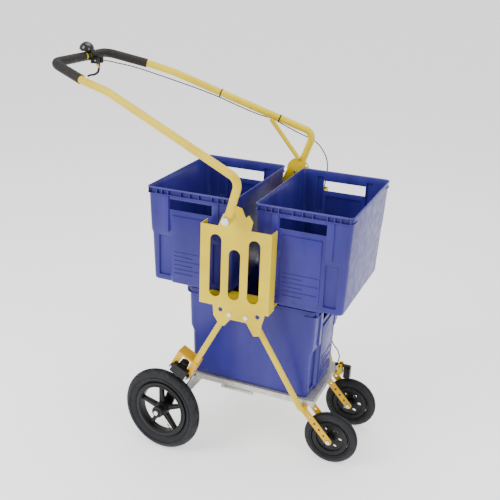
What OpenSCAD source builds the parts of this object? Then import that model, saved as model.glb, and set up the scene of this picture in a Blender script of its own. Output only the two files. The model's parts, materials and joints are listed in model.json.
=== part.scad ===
// Garden cart for three stack-and-nest crates: two hang crosswise between a pair of
// side plates and one stands lengthwise on a low tray. Steered wheels carry the handle end.
// +X points away from the handle, +Y to the left, +Z up, with the ground at Z = 0.

/* [Crates] */
// Outer length of a crate at its rim
crate_l = 600; // [400:5:660]
// Outer width of a crate at its rim
crate_w = 400; // [300:5:440]
// Height of a crate
crate_h = 418; // [300:1:440]
// Wall thickness of a crate
crate_wall = 3; // [2:0.5:5]
// How much each end of a crate leans in from rim to base
end_lean = 12; // [5:1:20]
// How much each side of a crate leans in from rim to base
side_lean = 22; // [8:1:30]
// Clear gap between the two upper crates
crate_gap = 80; // [60:5:160]

/* [Frame] */
// Height of the tray's top surface above the ground
tray_z = 287; // [260:1:360]
// Gap between the lower crate's rim and the upper crates' bases
deck_gap = 40; // [30:1:90]
// Distance between the outer faces of the two side plates
plate_span = 724; // [700:2:860]
// Sheet thickness of the side plates and brackets
sheet_t = 4; // [2.5:0.5:6]
// Width of a side plate along X
plate_w = 302; // [280:2:360]
// Height of a side plate below its ear
plate_h = 342; // [300:2:400]
// Outside diameter of the leg tubes
leg_d = 25; // [20:1:28]
// Wall of all tubes
tube_t = 2; // [1.5:0.25:3]
// Length of the galvanised tray
tray_l = 600; // [560:5:640]
// Width of the galvanised tray
tray_w = 380; // [370:5:400]

/* [Handle] */
// Outside diameter of the handle tube
handle_d = 33; // [28:1:38]
// Distance between the handle's two pivots
pivot_span = 836; // [800:2:900]
// Outside diameter of the foam grips
grip_d = 41; // [40:1:48]
// Diameter of the pivot bolts
pivot_d = 12; // [10:1:16]

/* [Wheels] */
// Radius of the big rear tyres
big_r = 184; // [170:1:190]
// Width of the big rear tyres
big_w = 53; // [45:1:60]
// Radius of the small front tyres
small_r = 118; // [100:1:125]
// Width of the small front tyres
small_w = 45; // [38:1:50]
// Distance between the two front wheels' middles
small_span = 314; // [290:2:340]
// Diameter of the wheel axles
axle_d = 12; // [10:1:14]
// Angle that both rear wheels are steered to at rest
steer_rest = 5; // [0:1:8]

/* [Hidden] */

$fn = 48;
// Running clearance of a pin in its hole, on the radius
run_c = 0.05;
// Overlap that makes a cut pass cleanly through a face
cut = 1;
// Gap between faces that move side by side
side_c = 0.3;
// Offset from the middle between the upper crates to the cart's origin
mid_x = 225;

// Heights
lower_rim_z = tray_z + crate_h;
deck_z = lower_rim_z + deck_gap;
rim_z = deck_z + crate_h;
plate_z0 = deck_z - 17;
plate_z1 = plate_z0 + plate_h;
plate_y = plate_span / 2;
plate_x0 = -157;
plate_x1 = plate_x0 + plate_w;
flange_y = crate_l / 2 + 3;

// Side plate slots: middle, bottom and top of each
slot_w = 50;
slot_x = [-90, -8, 75];
slot_top = [plate_z1 - 36, plate_z1 - 88, plate_z1 - 36];
slot_z0 = plate_z0 + 38;

// Handle
pivot_x = -18;
pivot_y = pivot_span / 2;
pivot_z = plate_z1 + 52;
// Handle path on the right side, from its lower end to the crossbar, relative to the pivot
handle_path = [
  [5, -2, 17], [53, -24, 170], [-600, 122, 412], [-716, 134, 440], [-916, 207, 490]
];
handle_bend = [42, 160, 120, 62];
corner = handle_at(4, -1);
bar_x = corner[0];
bar_z = corner[2];

// Rear wheel steering: a point on the steering axis, its direction and the wheel's place
steer_dir = [-0.46, 0, -0.888];
steer_out = [0.888, 0, -0.46];
steer_along = 217;
steer_off = 24;
steer_side = 12;
lean_z = 0.46 * sin(steer_rest);
big_low = (big_r - big_w / 2) * sqrt(1 - lean_z * lean_z) + big_w / 2;
turn_off = steer_off * cos(steer_rest) - steer_side * sin(steer_rest);
steer_z = big_low + steer_along * 0.888 + turn_off * 0.46;
steer_x = -241;
steer_y = plate_y - 6;
steer_p = [steer_x, -steer_y, steer_z];

// Front wheels and forks
front_x = 385;
cross_x = 264;
cross_z = tray_z - 39;
fork_len = norm([front_x - cross_x, cross_z - small_r]);
fork_tilt = atan2(cross_z - small_r, front_x - cross_x);
fork_t = 5;
fork_gap = small_w / 2 + 14;
hole_pitch = 32;

// Wheel bracket on the steering axis's slope
slope = atan2(0.888, 0.46);
bracket_w = 100;
bracket_top = 77;
bracket_deep = 60;
head_pitch = 74;
bolt_d = 8;
tab_y = plate_y - bracket_deep + 11;

// Place of the two rails that carry the upper crates
cradle_x = 110;

// ---------- helpers ----------
module placed() translate([mid_x, 0, 0]) children();
module left_copy() mirror([0, 1, 0]) children();

// Turns +Z to point along a vector
module aim(v) {
  rotate([0, acos(v[2] / norm(v)), atan2(v[1], v[0])]) children();
}

// Hollow round tube between two points
module tube(a, b, d, t) {
  translate(a) aim(b - a) difference() {
    cylinder(d = d, h = norm(b - a));
    translate([0, 0, -cut]) cylinder(d = d - 2 * t, h = norm(b - a) + 2 * cut);
  }
}

function unit(v) = v / norm(v);
function turn_angle(a, b, c) = acos(unit(b - a) * unit(c - b));
function trim(r, ang) = r * tan(ang / 2);

// Points along the arc of radius r that rounds the corner at b, one about every 15 degrees
function arc(a, b, c, r) = let (
  ang = turn_angle(a, b, c), u = unit(b - a), w = unit(c - b),
  side = cross(unit(cross(u, w)), u), start = b - trim(r, ang) * u, n = ceil(ang / 15)
) [for (i = [0 : n]) start + r * sin(ang * i / n) * u + r * (1 - cos(ang * i / n)) * side];

// The whole line through points p with its corners rounded
function rounded(p, r) = [
  p[0],
  for (i = [1 : len(p) - 2]) each arc(p[i - 1], p[i], p[i + 1], r[i - 1]),
  p[len(p) - 1]
];

// Direction of a line at its point i
function at_bend(p, i) = i == 0 ? unit(p[1] - p[0])
  : i == len(p) - 1 ? unit(p[i] - p[i - 1]) : unit(unit(p[i + 1] - p[i]) + unit(p[i] - p[i - 1]));

// Ring of points of diameter d round point i of a line
function ring(line, i, d, sides) = let (
  along = at_bend(line, i), a = unit(cross(along, [0.31, 0.2, 0.93])), b = cross(along, a)
) [for (k = [0 : sides - 1]) line[i] + d / 2 * (cos(360 * k / sides) * a + sin(360 * k / sides) * b)];

// Triangles between ring number first and the next one, in a skin whose points start at base
function band(base, first, sides, out) = [
  for (k = [0 : sides - 1]) let (
    m = (k + 1) % sides, p = base + first * sides, q = p + sides
  ) each out ? [[p + m, p + k, q + k], [p + m, q + k, q + m]]
    : [[p + k, p + m, q + m], [p + k, q + m, q + k]]
];

// Hollow tube swept along a line as one closed skin
module swept_tube(line, d, bore, sides) {
  n = len(line);
  inner = n * sides;
  ends = [for (e = [0, n - 1]) for (k = [0 : sides - 1]) let (
    m = (k + 1) % sides, p = e * sides, q = inner + e * sides
  ) each e == 0 ? [[p + k, p + m, q + m], [p + k, q + m, q + k]]
    : [[p + m, p + k, q + k], [p + m, q + k, q + m]]];
  polyhedron(
    concat(
      [for (i = [0 : n - 1]) each ring(line, i, d, sides)],
      [for (i = [0 : n - 1]) each ring(line, i, bore, sides)]
    ),
    concat(
      [for (i = [0 : n - 2]) each band(0, i, sides, true)],
      [for (i = [0 : n - 2]) each band(inner, i, sides, false)],
      ends
    ),
    convexity = 12
  );
}

// Hexagon-headed bolt along +Z from the underside of its head
module bolt(d, length, head) {
  cylinder(d = d, h = length);
  translate([0, 0, -0.6 * d]) cylinder(d = head, h = 0.6 * d, $fn = 6);
}

// Slot with round ends, standing along Y in its own plane
module slot(w, h) {
  translate([-w / 2, w / 2]) square([w, h - w]);
  translate([0, w / 2]) circle(d = w);
  translate([0, h - w / 2]) circle(d = w);
}

// Flat plate in the XZ plane whose outer face is at y = -y_out
module upright(y_out, t) translate([0, -y_out + t, 0]) rotate([90, 0, 0]) linear_extrude(t) children();

// A handle path point on the chosen side, in the cart's frame
function handle_at(i, side) = [
  pivot_x + handle_path[i][0],
  side * (pivot_y - handle_path[i][1]),
  pivot_z + handle_path[i][2]
];

// ---------- side plates ----------
ear_path = [
  [-82, 0], [-62, 50], [-38, 76], [-5, 91], [16, 86], [33, 50], [46, 63], [64, 38], [57, 0]
];

module plate_outline() {
  difference() {
    union() {
      translate([plate_x0, plate_z0]) square([plate_w, plate_h]);
      translate([0, plate_z1]) polygon(concat(ear_path, [[57, -10], [-82, -10]]));
    }
    for (i = [0 : 2]) translate([slot_x[i], slot_z0]) slot(slot_w, slot_top[i] - slot_z0);
    translate([pivot_x, pivot_z]) circle(d = pivot_d + 2 * run_c);
  }
}

module side_plate() {
  upright(plate_y, sheet_t) plate_outline();
  depth = plate_y - sheet_t - flange_y;
  for (x = [plate_x0, plate_x1 - sheet_t])
    translate([x, -plate_y + sheet_t, plate_z0]) cube([sheet_t, depth, plate_h]);
  shelf_y = plate_y - sheet_t - (crate_l / 2 - 65);
  translate([plate_x0, -plate_y + sheet_t, plate_z0]) cube([plate_w, depth, sheet_t]);
  translate([plate_x0, -flange_y, plate_z0]) cube([plate_w, sheet_t, deck_z - plate_z0]);
  translate([plate_x0, -flange_y, deck_z - sheet_t])
    cube([plate_w, shelf_y - depth, sheet_t]);
}

module side_plate_right() color("gold") placed() side_plate();
module side_plate_left() color("gold") placed() difference() {
  left_copy() side_plate();
  translate([lock_x, plate_y - sheet_t - cut, lock_z]) rotate([-90, 0, 0])
    cylinder(d = lock_d + 2 * run_c, h = sheet_t + 2 * cut);
}

// ---------- leg brackets ----------
lobe_z = plate_z0 - 14;
leg_y = plate_y - sheet_t - leg_d / 2;
front_leg_top = [88, -leg_y, plate_z0 - 52];

module leg_bracket_outline() {
  difference() {
    polygon([
      [-96, plate_z0], [-92, plate_z0 - 44], [-78, plate_z0 - 64], [-66, plate_z0 - 84],
      [-44, plate_z0 - 84], [-17, plate_z0 - 50], [53, plate_z0 - 50], [86, plate_z0 - 102],
      [116, plate_z0 - 94], [118, plate_z0 - 46], [128, plate_z0 - 10], [128, plate_z0]
    ]);
    for (x = [-62, 99]) translate([x, lobe_z]) circle(d = 20);
    for (x = [-22, 50]) translate([x, plate_z0 - 28]) circle(d = bolt_d + 2 * run_c);
  }
}

module leg_bracket() {
  upright(plate_y, sheet_t) leg_bracket_outline();
  translate([-96, -plate_y + sheet_t, plate_z0 - sheet_t]) cube([224, 44, sheet_t]);
}

module leg_bracket_right() color("goldenrod") placed() leg_bracket();
module leg_bracket_left() color("goldenrod") placed() left_copy() leg_bracket();

// ---------- legs ----------
// A point in the wheel bracket's own frame: up the slope, along Y, and towards the rear
function on_slope_at(up, y, back) = [
  steer_x + 0.46 * up - 0.888 * back, y, steer_z + 0.888 * up + 0.46 * back
];
leg_back = -36;
rear_leg_top = on_slope_at((plate_z0 - 46 - steer_z - 0.46 * leg_back) / 0.888, -leg_y, leg_back);
rear_leg_low = on_slope_at(bracket_top, -leg_y, leg_back);
knee = [cross_x, -(tray_w / 2 + leg_d / 2 + 14), cross_z];
knee_bend = 30;
tube_sides = 16;

module rear_leg() tube(rear_leg_top, rear_leg_low, leg_d, tube_t);
module rear_leg_right() color("gold") placed() rear_leg();
module rear_leg_left() color("gold") placed() left_copy() rear_leg();

module front_leg_tube() {
  far_top = [front_leg_top[0], -front_leg_top[1], front_leg_top[2]];
  far_knee = [knee[0], -knee[1], knee[2]];
  color("gold") placed()
    swept_tube(
      rounded([front_leg_top, knee, far_knee, far_top], [knee_bend, knee_bend]),
      leg_d, leg_d - 2 * tube_t, tube_sides
    );
}

// ---------- rear wheel brackets ----------
// The bracket's own frame has +X up the slope and +Z towards the rear
module on_slope() translate([steer_x, 0, steer_z]) rotate([0, -slope, 0]) children();

module wheel_bracket() {
  half = bracket_w / 2;
  arm = 27;
  face_low = -14;
  inner_y = plate_y - bracket_deep;
  on_slope() {
    difference() {
      translate([face_low, -plate_y, -half])
        cube([bracket_top - face_low, bracket_deep, bracket_w]);
      translate([face_low - cut, -plate_y + sheet_t, -half + sheet_t])
        cube([bracket_top - face_low - sheet_t + cut, bracket_deep, bracket_w - 2 * sheet_t]);
      translate([face_low - cut, -plate_y - cut, -half + arm])
        cube([bracket_top - 9 - face_low + cut, 2 * sheet_t, bracket_w - 2 * arm]);
      for (side = [-1, 1]) for (up = [0, 26])
        translate([up, -plate_y - cut, side * head_pitch / 2]) rotate([-90, 0, 0])
          cylinder(d = bolt_d + 2 * run_c, h = 3 * sheet_t);
      translate([-8, -tab_y, -half - cut]) cylinder(d = bolt_d + 2 * run_c, h = 2 * sheet_t);
    }
    difference() {
      translate([-34, -inner_y - 22, -half]) cube([34, 22, sheet_t]);
      translate([-8, -tab_y, -half - cut]) cylinder(d = bolt_d + 2 * run_c, h = 2 * sheet_t);
    }
  }
}

module wheel_bracket_right() color("orange") placed() wheel_bracket();
module wheel_bracket_left() color("orange") placed() left_copy() wheel_bracket();

// ---------- tray and rails ----------
tray_x0 = -tray_l / 2 + 5;
tray_lip = 25;
tray_sheet = 2;
module load_tray() color("silver") placed() difference() {
  translate([tray_x0, -tray_w / 2, tray_z - tray_lip]) cube([tray_l, tray_w, tray_lip]);
  translate([tray_x0 + tray_sheet, -tray_w / 2 + tray_sheet, tray_z - tray_lip - cut])
    cube([tray_l - 2 * tray_sheet, tray_w - 2 * tray_sheet, tray_lip - tray_sheet + cut]);
}

rail_t = 6;
rail_top = tray_z - tray_lip;
module rail_tab() difference() {
  half = bracket_w / 2;
  low = (rail_top - rail_t - steer_z + 0.46 * half) / 0.888 - 3;
  on_slope() translate([low, -tab_y - 11, -half - rail_t]) cube([10 - low, 22, rail_t]);
  on_slope() translate([-8, -tab_y, -half - rail_t - cut])
    cylinder(d = bolt_d + 2 * run_c, h = rail_t + 2 * cut);
  translate([-400, -tab_y - 20, rail_top - rail_t - 40]) cube([400, 40, 40]);
}

module rear_rail() color("silver") placed() {
  low_x = on_slope_at((rail_top - rail_t - steer_z + 0.46 * bracket_w / 2) / 0.888, 0, -bracket_w / 2)[0];
  translate([low_x - 8, -tab_y - 11, rail_top - rail_t]) cube([40, 2 * tab_y + 22, rail_t]);
  rail_tab();
  left_copy() rail_tab();
}

cradle_d = 25;
module cradle_rails() color("gold") placed()
  for (x = [-cradle_x, cradle_x]) difference() {
    translate([x - cradle_d / 2, -flange_y + sheet_t, deck_z - sheet_t - cradle_d])
      cube([cradle_d, 2 * (flange_y - sheet_t), cradle_d]);
    translate([x - cradle_d / 2 + tube_t, -flange_y, deck_z - sheet_t - cradle_d + tube_t])
      cube([cradle_d - 2 * tube_t, 2 * flange_y, cradle_d - 2 * tube_t]);
  }

foot_bar_d = 14;
module tray_foot_bar() color("lightgray") placed() {
  y = -tray_w / 2 + 12;
  z = tray_z - tray_lip - 16;
  x0 = -124;
  x1 = 26;
  translate([x0, y, z]) rotate([0, 90, 0]) cylinder(d = foot_bar_d, h = x1 - x0);
  for (x = [x0 + 8, x1 - 8]) translate([x, y, z]) cylinder(d = foot_bar_d - 4, h = tray_lip + 16 - tray_sheet);
}

// ---------- front forks ----------
module fork_bar() {
  rotate([0, fork_tilt, 0]) rotate([90, 0, 0]) linear_extrude(fork_t, center = true) difference() {
    union() {
      circle(d = leg_d + 16);
      translate([0, -15]) square([fork_len, 30]);
      translate([fork_len, 0]) circle(d = 30);
    }
    circle(d = leg_d + 2 * run_c);
    for (i = [1 : 4]) translate([fork_len - i * hole_pitch, 0]) circle(d = 11);
    translate([fork_len, 0]) circle(d = axle_d + 2 * run_c);
  }
}

module fork_bars(side) for (inout = [-1, 1])
  translate([cross_x, side * small_span / 2 + inout * (fork_gap + fork_t / 2), cross_z]) fork_bar();

module fork_bars_right() color("orange") placed() fork_bars(-1);
module fork_bars_left() color("orange") placed() fork_bars(1);

// ---------- bolts of the frame ----------
module plate_bolt(x) translate([x, -plate_y - 0.01, plate_z0 - 28]) rotate([-90, 0, 0])
  bolt(bolt_d, sheet_t + 10, 20);

module plate_bolts() color("lightgray") placed() for (m = [0, 1]) mirror([0, m, 0]) {
  plate_bolt(-22);
  plate_bolt(50);
}

module rail_bolt() on_slope() translate([-8, -tab_y, -bracket_w / 2 - rail_t])
  bolt(bolt_d, rail_t + sheet_t + 8, 15);

module rail_bolts() color("dimgray") placed() {
  rail_bolt();
  left_copy() rail_bolt();
}

// ---------- handle pivots and lock ----------
bush_d = 22;
disc_t = 5;
disc_y = pivot_y - handle_d / 2 - disc_t;
washer_t = 3;
bolt_y = pivot_y + handle_d / 2 + washer_t;
module pivot_bolt() translate([pivot_x, -bolt_y, pivot_z]) rotate([-90, 0, 0]) {
  bolt(pivot_d, bolt_y - plate_y + sheet_t + 12, 34);
  cylinder(d = 2 * pivot_d, h = washer_t - side_c);
}

// Bush outside a plate, ending at a distance reach from the middle
module pivot_bush(reach) translate([pivot_x, -reach, pivot_z]) rotate([-90, 0, 0]) difference() {
  cylinder(d = bush_d, h = reach - plate_y);
  translate([0, 0, -cut]) cylinder(d = pivot_d + 2 * run_c, h = reach - plate_y + 2 * cut);
}

module pivot_bolts() color("lightgray") placed() for (m = [0, 1]) mirror([0, m, 0]) pivot_bolt();
module pivot_bushes() color("silver") placed() {
  pivot_bush(pivot_y - handle_d / 2 - side_c);
  left_copy() pivot_bush(disc_y - side_c);
}

disc_r = 54;
lock_x = pivot_x + 40;
lock_z = pivot_z - 22;
lock_d = 10;
lock_y = plate_y - 20;

module lock_bracket() color("gold") placed() difference() {
  union() {
    translate([lock_x - 12, plate_y, lock_z - 40]) cube([24, sheet_t, 60]);
    translate([lock_x - 12, plate_y + sheet_t, lock_z - 12]) cube([24, 18, 24]);
  }
  translate([lock_x, plate_y - cut, lock_z]) rotate([-90, 0, 0])
    cylinder(d = lock_d + 2 * run_c, h = 40);
}

module lock_pin() color("silver") placed() translate([lock_x, lock_y, lock_z])
  rotate([-90, 0, 0]) cylinder(d = lock_d, h = disc_y - side_c - lock_y);

module lock_knob() color("black") placed() translate([lock_x, lock_y, lock_z])
  rotate([90, 0, 0]) {
    cylinder(d = 16, h = 6);
    translate([0, 0, 6]) sphere(d = 24);
  }

// ---------- handle ----------
function mirror_y(p) = [p[0], -p[1], p[2]];
right_path = [for (i = [0 : 4]) handle_at(i, -1)];
left_path = [for (i = [4 : -1 : 0]) handle_at(i, 1)];
full_path = concat(right_path, left_path);
full_bend = concat(handle_bend, [for (i = [3 : -1 : 0]) handle_bend[i]]);

eye_d = handle_d + 6;

module handle_tube() color("gold") placed()
  swept_tube(rounded(full_path, full_bend), handle_d, handle_d - 2 * tube_t, tube_sides);

module handle_eye() translate([pivot_x, -pivot_y, pivot_z]) rotate([-90, 0, 0]) difference() {
  cylinder(d = eye_d, h = handle_d, center = true);
  cylinder(d = pivot_d + 2 * run_c, h = handle_d + 2 * cut, center = true);
}

module handle_eyes() color("gold") placed() for (m = [0, 1]) mirror([0, m, 0]) handle_eye();

// Where the right and left foam grips stop along the crossbar
grip_ends = [19, 111];
grip_start = 0.1;
foam_c = 1;

// The foam runs from the straight arm, round the corner and along part of the crossbar
module grip(side, stop) {
  b = right_path[4];
  a = right_path[3] + grip_start * (b - right_path[3]);
  mirror([0, side > 0 ? 1 : 0, 0]) swept_tube(
    rounded([a, b, [b[0], -side * stop, b[2]]], [handle_bend[3]]),
    grip_d, handle_d + foam_c, tube_sides
  );
}

module grip_right() color("dimgray") placed() grip(-1, grip_ends[0]);
module grip_left() color("dimgray") placed() grip(1, grip_ends[1]);

brace_d = 20;
brace_b = [pivot_x + 4, disc_y - brace_d / 2 + 3, pivot_z + 52];
function left_on(t) = mirror_y(right_path[1] + t * (right_path[2] - right_path[1]));

module brace_tube() color("gold") placed() {
  tube(left_on(0.31) + [6, -8, -handle_d / 2 - 3], brace_b, brace_d, tube_t);
}

module index_disc() color("gold") placed() difference() {
  translate([pivot_x, disc_y + disc_t, pivot_z]) rotate([90, 0, 0]) cylinder(r = disc_r, h = disc_t);
  translate([pivot_x, disc_y - cut, pivot_z]) rotate([-90, 0, 0])
    cylinder(d = pivot_d + 2 * run_c, h = disc_t + 2 * cut);
  for (a = [-60 : 20 : 20]) translate([pivot_x, disc_y - cut, pivot_z])
    rotate([0, a - atan2(lock_z - pivot_z, lock_x - pivot_x), 0])
      translate([norm([lock_x - pivot_x, lock_z - pivot_z]), 0, 0]) rotate([-90, 0, 0])
        cylinder(d = lock_d + 2 * run_c, h = disc_t + 2 * cut);
}

// ---------- brake lever and bell on the crossbar ----------
clamp_y = 86;
clamp_w = 48;
lever_x = bar_x + 34;
lever_z = bar_z - 20;
module lever_clamp() color("dimgray") placed() difference() {
  union() {
    translate([bar_x, clamp_y - clamp_w / 2, bar_z]) rotate([-90, 0, 0])
      cylinder(d = handle_d + 12, h = clamp_w);
    translate([bar_x + 8, clamp_y - clamp_w / 2, bar_z - 34]) cube([38, clamp_w, 26]);
  }
  translate([bar_x, clamp_y - clamp_w, bar_z]) rotate([-90, 0, 0])
    cylinder(d = handle_d + 0.2, h = 2 * clamp_w);
  translate([lever_x - 11, clamp_y - 6, bar_z - 34 - cut]) cube([40, 12, 40]);
  translate([lever_x, clamp_y - clamp_w, lever_z]) rotate([-90, 0, 0])
    cylinder(d = 6 + 2 * run_c, h = 2 * clamp_w);
}

module brake_lever() color("dimgray") placed() {
  difference() {
    union() {
      translate([lever_x, clamp_y + 5, lever_z]) rotate([90, 0, 0]) cylinder(d = 18, h = 10);
      translate([lever_x - 2, clamp_y - 5, lever_z - 60]) cube([8, 10, 58]);
      translate([lever_x - 2, clamp_y - 96, lever_z - 66]) cube([8, 101, 14]);
    }
    translate([lever_x, clamp_y - 20, lever_z]) rotate([-90, 0, 0])
      cylinder(d = 6 + 2 * run_c, h = 40);
  }
}

module lever_pin() color("silver") placed() translate([lever_x, clamp_y - clamp_w / 2 - 2, lever_z])
  rotate([-90, 0, 0]) cylinder(d = 6, h = clamp_w + 4);

bell_y = 45;
bell_r = 34;
striker_x = 16;
striker_d = 3;
bell_z = bar_z + handle_d / 2 + 8;
module bell_base() color("dimgray") placed() difference() {
  union() {
    translate([bar_x, bell_y - 9, bar_z]) rotate([-90, 0, 0]) cylinder(d = handle_d + 8, h = 18);
    translate([bar_x, bell_y, bar_z]) cylinder(d = 14, h = handle_d / 2 + 12);
    translate([bar_x, bell_y, bell_z]) cylinder(r = bell_r - 6, h = 4);
    translate([bar_x, bell_y, bell_z]) cylinder(d = 8, h = bell_r - 1);
    translate([bar_x + striker_x, bell_y, bell_z]) cylinder(d = striker_d, h = 8);
  }
  translate([bar_x, bell_y - 20, bar_z]) rotate([-90, 0, 0]) cylinder(d = handle_d + 0.2, h = 40);
}

module bell_dome() color("black") placed() translate([bar_x, bell_y, bell_z + 6]) difference() {
  intersection() {
    sphere(r = bell_r);
    translate([-bell_r, -bell_r, 0]) cube(2 * bell_r);
  }
  intersection() {
    sphere(r = bell_r - 2);
    translate([-bell_r, -bell_r, -cut]) cube(2 * bell_r);
  }
  cylinder(d = 8.2, h = 2 * bell_r);
}

module bell_striker() color("black") placed() difference() {
  union() {
    translate([bar_x + striker_x, bell_y, bell_z + 4.3]) cylinder(d = 8, h = 3);
    translate([bar_x + 15, bell_y - 3, bell_z + 4.3]) cube([27, 6, 1.2]);
    translate([bar_x + 40, bell_y - 5, bell_z - 4]) cube([6, 10, 9.5]);
  }
  translate([bar_x + striker_x, bell_y, bell_z]) cylinder(d = striker_d + 2 * run_c, h = 20);
}

tie_t = 2;
module tie(t) {
  translate(left_on(t)) aim(left_on(1) - left_on(0)) difference() {
    union() {
      cylinder(d = handle_d + 2 * tie_t, h = 5);
      translate([handle_d / 2 - 1, -3, 0]) cube([5, 6, 5]);
    }
    translate([0, 0, -cut]) cylinder(d = handle_d + 0.1, h = 5 + 2 * cut);
  }
}

module cable_ties() color("black") placed() {
  tie(0.66);
  tie(0.24);
}

// ---------- rear casters ----------
stem_d = 24;
head_low = -13;
head_up = 30;

module caster_head() on_slope() difference() {
  union() {
    translate([head_low, -plate_y - 26, -head_pitch / 2]) cube([head_up - head_low, 26, head_pitch]);
    for (side = [-1, 1]) translate([0, -plate_y, side * head_pitch / 2]) rotate([90, 0, 0])
      cylinder(d = 24, h = 16);
    translate([head_low, -steer_y, 0]) rotate([0, 90, 0]) cylinder(d = 40, h = head_up - head_low + 8);
  }
  translate([head_low - cut, -steer_y, 0]) rotate([0, 90, 0])
    cylinder(d = stem_d + 2 * run_c, h = head_up - head_low + 10);
  for (side = [-1, 1]) translate([0, -plate_y - 40, side * head_pitch / 2]) rotate([-90, 0, 0])
    cylinder(d = bolt_d + 2 * run_c, h = 60);
}

module caster_head_right() color("black") placed() caster_head();
module caster_head_left() color("black") placed() left_copy() caster_head();

module head_bolt(side) on_slope() translate([0, -plate_y - 16, side * head_pitch / 2])
  rotate([-90, 0, 0]) bolt(bolt_d, 16 + sheet_t + 8, 15);

module caster_head_bolts() color("lightgray") placed() for (m = [0, 1]) mirror([0, m, 0])
  for (side = [-1, 1]) head_bolt(side);

// Everything that steers is drawn straight ahead and turned about the steering axis
module steered() translate(steer_p) rotate(a = steer_rest, v = steer_dir) translate(-steer_p) children();

leg_in = big_w / 2 + 7;
leg_t = 12;
wheel_y = steer_y + steer_side;
hub_p = [-steer_along, -wheel_y, -steer_off];
crown_low = -25;
crown_t = 9;

module caster_fork() steered() on_slope() {
  leg_y0 = -wheel_y + leg_in;
  difference() {
    union() {
      translate([crown_low, -steer_y, 0]) rotate([0, 90, 0]) cylinder(d = stem_d, h = 70);
      translate([crown_low, -steer_y, 0]) rotate([0, 90, 0]) cylinder(d = 46, h = crown_t);
      translate([crown_low, -steer_y, -20]) cube([crown_t, leg_y0 + leg_t + steer_y, 40]);
      translate([0, leg_y0 + leg_t, 0]) rotate([90, 0, 0]) linear_extrude(leg_t) hull() {
        translate([crown_low + crown_t - 4, -20]) square([4, 40]);
        translate([hub_p[0], hub_p[2]]) circle(d = 44);
      }
    }
    translate([hub_p[0], leg_y0 - cut, hub_p[2]]) rotate([-90, 0, 0])
      cylinder(d = axle_d + 2 * run_c, h = leg_t + 2 * cut);
  }
  translate([44, -steer_y, 0]) rotate([0, 90, 0]) cylinder(d = 36, h = 6);
}

module caster_fork_right() color("dimgray") placed() caster_fork();
module caster_fork_left() color("dimgray") placed() left_copy() caster_fork();

hub_out = 47;
hub_in = big_w / 2 + 5;
module at_big_wheel() steered() on_slope() translate(hub_p) rotate([-90, 0, 0]) children();

module rear_axle() at_big_wheel() {
  translate([0, 0, -hub_out - 2]) cylinder(d = axle_d, h = hub_out + 2 + leg_in + leg_t + 10);
  translate([0, 0, -hub_out - 10]) cylinder(d = 22, h = 8, $fn = 6);
  translate([0, 0, leg_in + leg_t]) cylinder(d = 22, h = 9, $fn = 6);
}

module rear_axle_right() color("lightgray") placed() rear_axle();
module rear_axle_left() color("lightgray") placed() left_copy() rear_axle();

big_rim_r = 118;
module big_rim_profile() polygon([
  [big_rim_r - 16, -15], [big_rim_r - 6, -20], [big_rim_r + 8, -21], [big_rim_r + 8, -17],
  [big_rim_r - 2, -12], [big_rim_r - 2, 12], [big_rim_r + 8, 17], [big_rim_r + 8, 21],
  [big_rim_r - 6, 20], [big_rim_r - 16, 15]
]);

module rear_rim() at_big_wheel() difference() {
  union() {
    rotate_extrude() big_rim_profile();
    translate([0, 0, -hub_out]) cylinder(d = 52, h = hub_out + hub_in);
    for (i = [0 : 4]) rotate(i * 72) translate([20, -9, -13]) cube([big_rim_r - 32, 18, 26]);
  }
  translate([0, 0, -hub_out - cut]) cylinder(d = axle_d + 2 * run_c, h = 2 * hub_out);
}

module rear_rim_right() color("black") placed() rear_rim();
module rear_rim_left() color("black") placed() left_copy() rear_rim();

// A tyre that seats on its rim: outer radius, width, seat radius and seat half width
module tyre(r, w, seat, half) rotate_extrude() difference() {
  translate([r - w / 2, 0]) circle(d = w);
  polygon([[0, -w], [seat, -w], [seat, -half], [seat + 2, 0], [seat, half], [seat, w], [0, w]]);
}

module rear_tyre() at_big_wheel() rotate_extrude() {
  seat = big_rim_r - 1.9;
  translate([big_r - big_w / 2, 0]) circle(d = big_w);
  polygon([
    [seat, -11.8], [seat + 10, -16.8], [big_r - big_w / 2, -20],
    [big_r - big_w / 2, 20], [seat + 10, 16.8], [seat, 11.8]
  ]);
}
module rear_tyre_right() color("dimgray") placed() rear_tyre();
module rear_tyre_left() color("dimgray") placed() left_copy() rear_tyre();

// ---------- front wheels ----------
module at_small_wheel(side) translate([front_x, side * small_span / 2, small_r])
  rotate([-90, 0, 0]) children();

module front_axles() color("lightgray") placed() for (side = [-1, 1]) at_small_wheel(side) {
  reach = fork_gap + fork_t;
  translate([0, 0, -reach - 1]) cylinder(d = axle_d, h = 2 * reach + 10);
  translate([0, 0, -reach - 8]) cylinder(d = 20, h = 8, $fn = 6);
  translate([0, 0, reach]) cylinder(d = 20, h = 8, $fn = 6);
}

small_rim_r = 76;
module front_rim(side) at_small_wheel(side) difference() {
  union() {
    rotate_extrude() polygon([
      [small_rim_r - 14, -13], [small_rim_r + 2, -18], [small_rim_r + 2, 18], [small_rim_r - 14, 13]
    ]);
    cylinder(d = 44, h = 2 * fork_gap - 2, center = true);
    cylinder(r = small_rim_r - 8, h = 14, center = true);
  }
  for (i = [0 : 5]) rotate(i * 60) translate([42, 0, -20]) cylinder(d = 18, h = 40);
  translate([0, 0, -fork_gap - cut]) cylinder(d = axle_d + 2 * run_c, h = 2 * fork_gap + 2 * cut);
}

module front_rim_right() color("black") placed() front_rim(-1);
module front_rim_left() color("black") placed() front_rim(1);
module front_tyre(side) at_small_wheel(side) tyre(small_r, small_w, small_rim_r + 2.2, 12);
module front_tyre_right() color("dimgray") placed() front_tyre(-1);
module front_tyre_left() color("dimgray") placed() front_tyre(1);

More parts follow.
